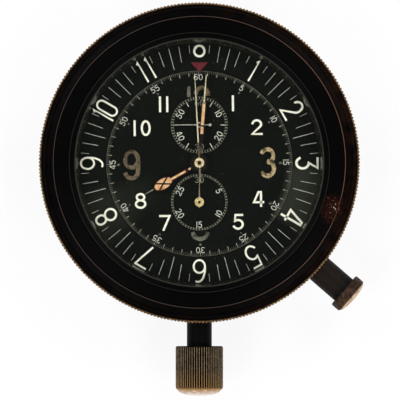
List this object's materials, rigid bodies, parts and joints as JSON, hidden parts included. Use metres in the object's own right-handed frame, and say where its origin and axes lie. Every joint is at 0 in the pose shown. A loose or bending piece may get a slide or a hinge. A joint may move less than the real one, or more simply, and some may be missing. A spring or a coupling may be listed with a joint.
{
  "type": "cockpit chronograph clock",
  "caption": "Round black cockpit chronograph clock with knurled turning bezel, turning hour ring, two sunk sub-dials, fluted crown and side pusher, with a working movement.",
  "frame": {"origin": "centre of the flat back face, on the dial axis", "axes": "+Z out through the crystal, +Y towards twelve o'clock, so that the crown points along -Y"},
  "size_m": [0.0817, 0.0988, 0.026],
  "materials": {
    "black_case": "satin black enamel, worn",
    "glass": "clear",
    "dial_black": "matt black",
    "worn_brass": "browned brass",
    "gilt": "gilt",
    "hand_brass": "polished",
    "hand_dark": "blackened",
    "steel": "polished steel",
    "blued_steel": "blued",
    "ruby": "polished",
    "dial_ink": "matt cream ink",
    "marker_red": "matt red ink",
    "glow_paint": "grainy orange paste",
    "glow_worn": "worn brown paste",
    "gasket": "matt"
  },
  "bodies": {
    "case": {"case_body": "black_case", "back_cover": "black_case", "back_gasket": "gasket", "bezel_wire": "steel", "dial": "dial_black", "crown_tube": "black_case", "pusher_tube": "black_case", "pusher_spring": "steel", "movement_ring": "gilt", "case_clamps": "steel", "main_plate": "gilt", "barrel_bridge": "gilt", "train_bridge": "gilt", "balance_cock": "gilt", "pallet_bridge": "gilt", "chronograph_bridge": "gilt", "bridge_screws": "blued_steel", "jewels": "ruby", "click_spring": "steel", "hairspring": "blued_steel"},
    "bezel": {"bezel": "black_case", "crystal": "glass", "crystal_ring": "black_case", "hour_ring": "dial_black"},
    "winding_pinions": {"winding_pinion": "steel", "sliding_pinion": "steel"},
    "crown": {"crown": "worn_brass", "winding_stem": "steel"},
    "pusher": {"pusher": "worn_brass"},
    "seconds": {"fourth_wheel": "gilt", "seconds_hand": "hand_brass"},
    "third": {"third_wheel": "gilt"},
    "minutes": {"center_wheel": "gilt", "cannon_pinion": "steel", "minute_hand": "hand_brass"},
    "minute_wheel": {"minute_wheel": "gilt"},
    "hours": {"hour_wheel": "gilt", "hour_hand": "hand_dark"},
    "barrel": {"barrel": "gilt", "mainspring": "steel"},
    "escape": {"escape_wheel": "steel"},
    "coupling_lever": {"coupling_lever": "steel"},
    "coupling_wheel": {"coupling_wheel": "gilt"},
    "pallet_fork": {"pallet_fork": "steel"},
    "balance": {"balance_wheel": "gilt"},
    "chronograph": {"chronograph_wheel": "gilt", "chronograph_hand": "hand_brass"},
    "counter_idler": {"counter_idler": "gilt"},
    "counter": {"counter_wheel": "gilt", "counter_hand": "hand_brass"},
    "crown_wheel": {"crown_wheel": "steel"},
    "winding_idler": {"winding_idler": "steel"},
    "ratchet": {"ratchet_wheel": "steel", "barrel_arbor": "steel"},
    "click": {"click": "steel"},
    "setting_lever": {"setting_lever": "steel"},
    "operating_lever": {"operating_lever": "steel"},
    "column_wheel": {"column_wheel": "steel"},
    "reset_hammer": {"reset_hammer": "steel"}
  },
  "joints": [
    {"name": "bezel_turn", "type": "hinge", "parent": "case", "child": "bezel", "pos_m": [0, 0, 0.01], "axis": [0, 0, 1], "continuous": true},
    {"name": "crown_turn", "type": "hinge", "parent": "case", "child": "winding_pinions", "pos_m": [0, 0, 0.0126], "axis": [0, -1, 0], "continuous": true},
    {"name": "crown_pull", "type": "slide", "parent": "winding_pinions", "child": "crown", "axis": [0, -1, 0], "range_m": [0, 0.0012]},
    {"name": "pusher_press", "type": "slide", "parent": "case", "child": "pusher", "axis": [-0.7547, 0.6561, 0], "range_m": [0, 0.002], "stiffness_N_per_m": 1500, "springref_m": -0.002, "deforming": ["pusher_spring"]},
    {"name": "seconds_turn", "type": "hinge", "parent": "case", "child": "seconds", "pos_m": [0, 0.0097, 0.01], "axis": [0, 0, 1], "continuous": true},
    {"name": "third_turn", "type": "hinge", "parent": "case", "child": "third", "pos_m": [0.00411, 0.00565, 0.01], "axis": [0, 0, 1], "continuous": true},
    {"name": "minute_turn", "type": "hinge", "parent": "case", "child": "minutes", "pos_m": [0, 0, 0.01], "axis": [0, 0, 1], "continuous": true},
    {"name": "minute_wheel_turn", "type": "hinge", "parent": "case", "child": "minute_wheel", "pos_m": [0.00424, -0.00424, 0.01], "axis": [0, 0, 1], "continuous": true},
    {"name": "hour_turn", "type": "hinge", "parent": "case", "child": "hours", "pos_m": [0, 0, 0.01], "axis": [0, 0, 1], "continuous": true},
    {"name": "barrel_turn", "type": "hinge", "parent": "case", "child": "barrel", "pos_m": [-0.00731, -0.00493, 0.01], "axis": [0, 0, 1], "continuous": true},
    {"name": "escape_turn", "type": "hinge", "parent": "case", "child": "escape", "pos_m": [-0.00543, 0.00772, 0.01], "axis": [0, 0, 1], "continuous": true},
    {"name": "coupling_swing", "type": "hinge", "parent": "case", "child": "coupling_lever", "pos_m": [0.00151, 0.00699, 0.01], "axis": [0, 0, 1], "range_deg": [-14, 0]},
    {"name": "coupling_turn", "type": "hinge", "parent": "coupling_lever", "child": "coupling_wheel", "pos_m": [0.00256, 0.00509, 0.01], "axis": [0, 0, 1], "continuous": true},
    {"name": "pallet_swing", "type": "hinge", "parent": "case", "child": "pallet_fork", "pos_m": [-0.00886, 0.00821, 0.01], "axis": [0, 0, 1], "range_deg": [-4, 4]},
    {"name": "balance_swing", "type": "hinge", "parent": "case", "child": "balance", "pos_m": [-0.01282, 0.00876, 0.01], "axis": [0, 0, 1], "range_deg": [-270, 270]},
    {"name": "chronograph_turn", "type": "hinge", "parent": "case", "child": "chronograph", "pos_m": [0, 0, 0.01], "axis": [0, 0, 1], "continuous": true},
    {"name": "counter_idler_turn", "type": "hinge", "parent": "case", "child": "counter_idler", "pos_m": [0, -0.0061, 0.01], "axis": [0, 0, 1], "continuous": true},
    {"name": "counter_turn", "type": "hinge", "parent": "case", "child": "counter", "pos_m": [0, -0.0097, 0.01], "axis": [0, 0, 1], "continuous": true},
    {"name": "crown_wheel_turn", "type": "hinge", "parent": "case", "child": "crown_wheel", "pos_m": [0, -0.0171, 0.01], "axis": [0, 0, 1], "continuous": true},
    {"name": "idler_turn", "type": "hinge", "parent": "case", "child": "winding_idler", "pos_m": [-0.00468, -0.01385, 0.01], "axis": [0, 0, 1], "continuous": true},
    {"name": "ratchet_turn", "type": "hinge", "parent": "case", "child": "ratchet", "pos_m": [-0.00731, -0.00493, 0.01], "axis": [0, 0, 1], "continuous": true},
    {"name": "click_lift", "type": "hinge", "parent": "case", "child": "click", "pos_m": [-0.0146, -0.01004, 0.01], "axis": [0, 0, 1], "range_deg": [0, 6]},
    {"name": "setting_swing", "type": "hinge", "parent": "case", "child": "setting_lever", "pos_m": [0.0042, -0.0184, 0.01], "axis": [0, 0, 1], "range_deg": [0, 20]},
    {"name": "operating_swing", "type": "hinge", "parent": "case", "child": "operating_lever", "pos_m": [0.01876, -0.00571, 0.01], "axis": [0, 0, 1], "range_deg": [-18, 0]},
    {"name": "column_turn", "type": "hinge", "parent": "case", "child": "column_wheel", "pos_m": [0.0072, -0.0055, 0.01], "axis": [0, 0, 1], "continuous": true},
    {"name": "hammer_swing", "type": "hinge", "parent": "case", "child": "reset_hammer", "pos_m": [-0.0055, 0.006, 0.01], "axis": [0, 0, 1], "range_deg": [0, 4.5]}
  ],
  "couplings": [
    {"joint": "third_turn", "follows": "seconds_turn", "ratio": -0.13333},
    {"joint": "minute_turn", "follows": "seconds_turn", "ratio": 0.016667},
    {"joint": "minute_wheel_turn", "follows": "seconds_turn", "ratio": -0.0055556},
    {"joint": "hour_turn", "follows": "seconds_turn", "ratio": 0.0013889},
    {"joint": "barrel_turn", "follows": "seconds_turn", "ratio": -0.0027778},
    {"joint": "escape_turn", "follows": "seconds_turn", "ratio": -10},
    {"joint": "coupling_turn", "follows": "seconds_turn", "ratio": -1.4286},
    {"joint": "counter_idler_turn", "follows": "chronograph_turn", "ratio": -0.055556},
    {"joint": "counter_turn", "follows": "chronograph_turn", "ratio": 0.033333},
    {"joint": "crown_wheel_turn", "follows": "crown_turn", "ratio": -0.7},
    {"joint": "idler_turn", "follows": "crown_turn", "ratio": 0.77778},
    {"joint": "ratchet_turn", "follows": "crown_turn", "ratio": -0.31818},
    {"joint": "setting_swing", "follows": "crown_pull", "rad_per_m": 238.1},
    {"joint": "operating_swing", "follows": "pusher_press", "rad_per_m": -125}
  ]
}
